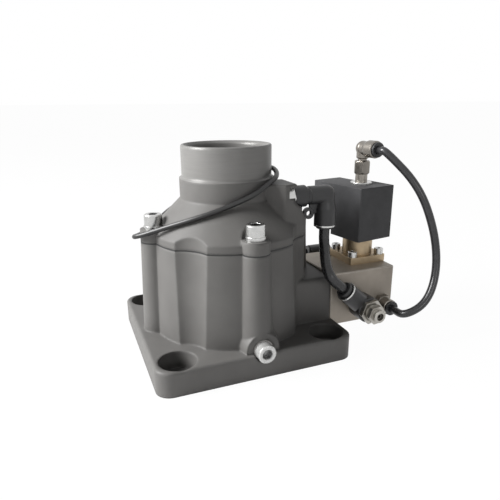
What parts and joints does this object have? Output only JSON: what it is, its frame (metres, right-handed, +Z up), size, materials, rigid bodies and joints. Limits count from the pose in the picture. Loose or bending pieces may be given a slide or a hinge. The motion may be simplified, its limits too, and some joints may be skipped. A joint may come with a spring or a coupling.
{
  "type": "compressor intake valve",
  "caption": "Square-flanged air intake valve with a round inlet neck, sprung disc and piston inside, and a side block with solenoid, push-in fittings and air lines.",
  "frame": {"origin": "centre of the base plate's underside", "axes": "+Z up along the inlet neck, +X towards the solenoid block, +Y to the back"},
  "size_m": [0.2169, 0.145, 0.1525],
  "materials": {
    "casting": "matt grey coated casting, neck machined",
    "block_alloy": "milled, dull",
    "bright_steel": "bright plated",
    "steel": "plain steel",
    "brass": "turned brass, dulled",
    "copper": "copper",
    "nickel": "nickel plated brass",
    "black_plastic": "moulded black nylon",
    "black_tube": "smooth black air line",
    "black_rubber": "black rubber"
  },
  "bodies": {
    "valve": {"valve_body": "casting", "plug_washer": "copper", "port_plug": "bright_steel", "cover_gasket": "black_rubber", "intake_cover": "casting", "cover_screws": "bright_steel", "cover_spring_washers": "bright_steel", "guide_bush": "brass", "hub_cap": "block_alloy", "hub_snap_ring": "steel", "return_spring": "steel", "blowdown_block": "block_alloy", "block_gasket": "black_rubber", "block_screws": "bright_steel", "blowdown_spring": "steel", "blowdown_cap": "steel", "solenoid_base": "brass", "solenoid_seal": "black_rubber", "solenoid_base_screws": "bright_steel", "armature_tube": "steel", "fixed_core": "steel", "plunger_spring": "steel", "solenoid_coil": "black_plastic", "coil_winding": "copper", "coil_washers": "bright_steel", "connector_gasket": "black_rubber", "coil_connector": "black_plastic", "connector_screw": "bright_steel", "cable_gland": "black_plastic", "gland_seal": "black_rubber", "vent_stud": "nickel", "vent_elbow": "nickel", "return_fitting": "nickel", "control_stud": "nickel", "control_elbow": "black_plastic", "fitting_bands": "nickel", "banjo_collar": "nickel", "banjo_bolt": "nickel", "banjo_body": "black_plastic", "rear_stud": "nickel", "rear_elbow": "black_plastic", "control_tube": "black_tube", "exhaust_tube": "black_tube"},
    "spindle": {"valve_disc": "block_alloy", "disc_seal": "black_rubber", "piston_rod": "steel", "disc_nut": "steel", "piston_nut": "steel", "control_piston": "block_alloy", "piston_seal": "black_rubber"},
    "blowdown": {"blowdown_piston": "brass", "blowdown_seal": "black_rubber"},
    "plunger": {"solenoid_plunger": "steel"},
    "flow_adjuster": {"flow_screw": "nickel"},
    "vent_release": {"vent_collet": "black_plastic"},
    "return_release": {"return_collet": "black_plastic"},
    "control_release": {"control_collet": "black_plastic"},
    "banjo_release": {"banjo_collet": "black_plastic"},
    "rear_release": {"rear_collet": "black_plastic"},
    "loose_seal": {"mounting_seal": "black_rubber"}
  },
  "joints": [
    {"name": "valve_open", "type": "slide", "parent": "valve", "child": "spindle", "axis": [0, 0, -1], "range_m": [0, 0.014], "stiffness_N_per_m": 900, "springref_m": -0.012, "deforming": ["return_spring"]},
    {"name": "blowdown_open", "type": "slide", "parent": "valve", "child": "blowdown", "axis": [0, 0, -1], "range_m": [0, 0.005], "stiffness_N_per_m": 600, "springref_m": -0.006, "deforming": ["blowdown_spring"]},
    {"name": "plunger_lift", "type": "slide", "parent": "valve", "child": "plunger", "axis": [0, 0, 1], "range_m": [0, 0.002], "stiffness_N_per_m": 500, "springref_m": -0.004, "deforming": ["plunger_spring"]},
    {"name": "flow_adjust", "type": "hinge", "parent": "valve", "child": "flow_adjuster", "pos_m": [0.0945, -0.062, 0.028], "axis": [0, -1, 0], "range_deg": [-360, 720]},
    {"name": "vent_release_slide", "type": "slide", "parent": "valve", "child": "vent_release", "axis": [-0.0872, 0.9962, 0], "range_m": [0, 0.0009], "stiffness_N_per_m": 300, "springref_m": -0.002},
    {"name": "return_release_slide", "type": "slide", "parent": "valve", "child": "return_release", "axis": [0, 1, 0], "range_m": [0, 0.0009], "stiffness_N_per_m": 300, "springref_m": -0.002},
    {"name": "control_release_slide", "type": "slide", "parent": "valve", "child": "control_release", "axis": [0, 0, 1], "range_m": [0, 0.0009], "stiffness_N_per_m": 300, "springref_m": -0.002},
    {"name": "banjo_release_slide", "type": "slide", "parent": "valve", "child": "banjo_release", "axis": [0.7431, 0, -0.6691], "range_m": [0, 0.0009], "stiffness_N_per_m": 300, "springref_m": -0.002},
    {"name": "rear_release_slide", "type": "slide", "parent": "valve", "child": "rear_release", "axis": [1, 0, 0], "range_m": [0, 0.0009], "stiffness_N_per_m": 300, "springref_m": -0.002},
    {"name": "loose_seal_lift", "type": "slide", "parent": "valve", "child": "loose_seal", "axis": [0, 0, 1], "range_m": [0, 0.07]}
  ]
}
